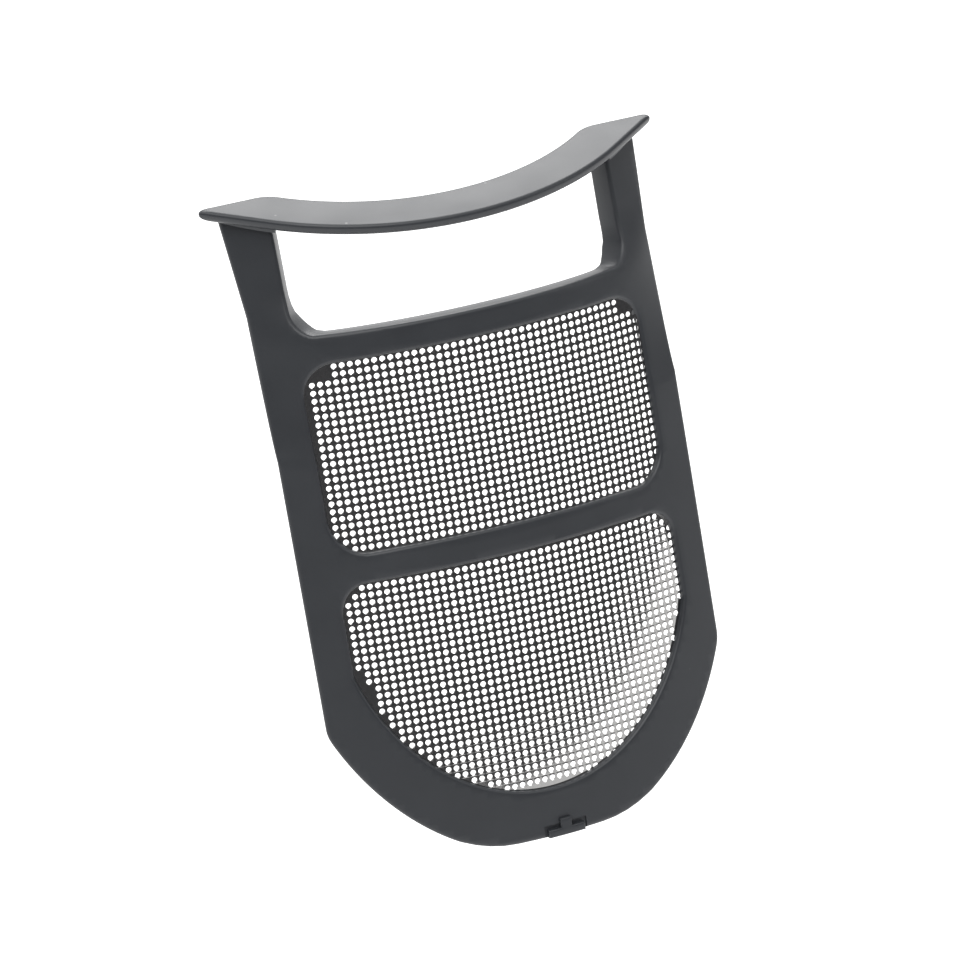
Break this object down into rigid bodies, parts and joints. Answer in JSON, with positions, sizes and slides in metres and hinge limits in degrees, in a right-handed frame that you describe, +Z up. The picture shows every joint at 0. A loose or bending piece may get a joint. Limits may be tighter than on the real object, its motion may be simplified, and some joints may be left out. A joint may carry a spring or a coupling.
{
  "type": "limescale filter",
  "caption": "Curved spout filter for a kettle: a moulded frame with a perforated steel sheet in its windows and a crescent finger plate across the top.",
  "frame": {"origin": "middle of the finger plate's flat top face, on the plane of symmetry", "axes": "+X to the side, +Y from the convex front towards the inside of the kettle, +Z up, square to the finger plate"},
  "size_m": [0.0596, 0.0441, 0.0763],
  "materials": {
    "dark_grey_plastic": "satin",
    "perforated_steel": "fine perforation"
  },
  "bodies": {
    "root": {"moulded_frame": "dark_grey_plastic", "perforated_sheet": "perforated_steel"}
  },
  "joints": []
}
